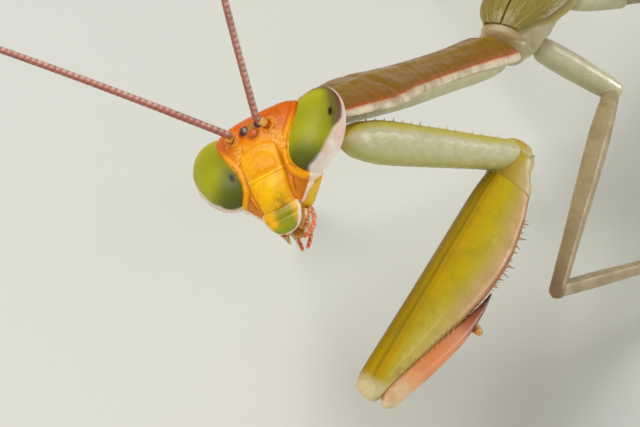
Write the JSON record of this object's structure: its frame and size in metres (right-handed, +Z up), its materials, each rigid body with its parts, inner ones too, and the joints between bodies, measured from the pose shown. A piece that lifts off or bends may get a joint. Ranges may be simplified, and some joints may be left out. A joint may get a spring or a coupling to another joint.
{
  "type": "praying mantis",
  "caption": "Slender praying mantis at life size, standing low on its walking legs with spined forelegs folded and its head turned up and tilted.",
  "frame": {"origin": "centre of the bounding box in plan, on the level that the soles of the feet stand on", "axes": "-Y ahead of the animal, +X its left side, +Z up"},
  "size_m": [0.0514, 0.0698, 0.0495],
  "materials": {
    "shell_orange": "satin",
    "shell_yellow": "satin",
    "shell_amber": "satin",
    "shell_ochre": "matt",
    "shell_cream": "satin",
    "shell_tan": "matt",
    "shell_olive": "matt",
    "shell_lime": "satin",
    "shell_salmon": "satin",
    "shell_brown": "matt",
    "wing_olive": "matt",
    "eye_green": "gloss",
    "feeler_red": "satin"
  },
  "bodies": {
    "root": {"abdomen_segment_1": "shell_olive", "abdomen_segment_2": "shell_olive", "abdomen_segment_3": "shell_olive", "abdomen_segment_4": "shell_olive", "abdomen_segment_5": "shell_olive", "abdomen_segment_6": "shell_olive", "antenna_left": "feeler_red", "antenna_right": "feeler_red", "cercus_left": "shell_olive", "cercus_right": "shell_olive", "eye_left": "eye_green", "eye_right": "eye_green", "fore_coxa_left": "shell_cream", "fore_coxa_right": "shell_cream", "fore_femur_left": "shell_lime", "fore_femur_right": "shell_lime", "fore_tarsus_left": "shell_amber", "fore_tarsus_right": "shell_amber", "fore_tibia_left": "shell_salmon", "fore_tibia_right": "shell_salmon", "fore_trochanter_left": "shell_cream", "fore_trochanter_right": "shell_cream", "head_capsule": "shell_orange", "hind_left_coxa": "shell_cream", "hind_left_femur": "shell_brown", "hind_left_tarsus": "shell_brown", "hind_left_tibia": "shell_brown", "hind_right_coxa": "shell_cream", "hind_right_femur": "shell_brown", "hind_right_tarsus": "shell_brown", "hind_right_tibia": "shell_brown", "labial_palp_left": "shell_amber", "labial_palp_right": "shell_amber", "labium": "shell_amber", "labrum": "shell_yellow", "mandible_left": "shell_amber", "mandible_right": "shell_amber", "maxillary_palp_left": "shell_amber", "maxillary_palp_right": "shell_amber", "mesothorax": "shell_tan", "metathorax": "shell_tan", "mid_left_coxa": "shell_cream", "mid_left_femur": "shell_brown", "mid_left_tarsus": "shell_brown", "mid_left_tibia": "shell_brown", "mid_right_coxa": "shell_cream", "mid_right_femur": "shell_brown", "mid_right_tarsus": "shell_brown", "mid_right_tibia": "shell_brown", "neck": "shell_cream", "pronotum": "shell_ochre", "prosternum": "shell_cream", "tegmen_left": "wing_olive", "tegmen_right": "wing_olive"}
  },
  "joints": []
}
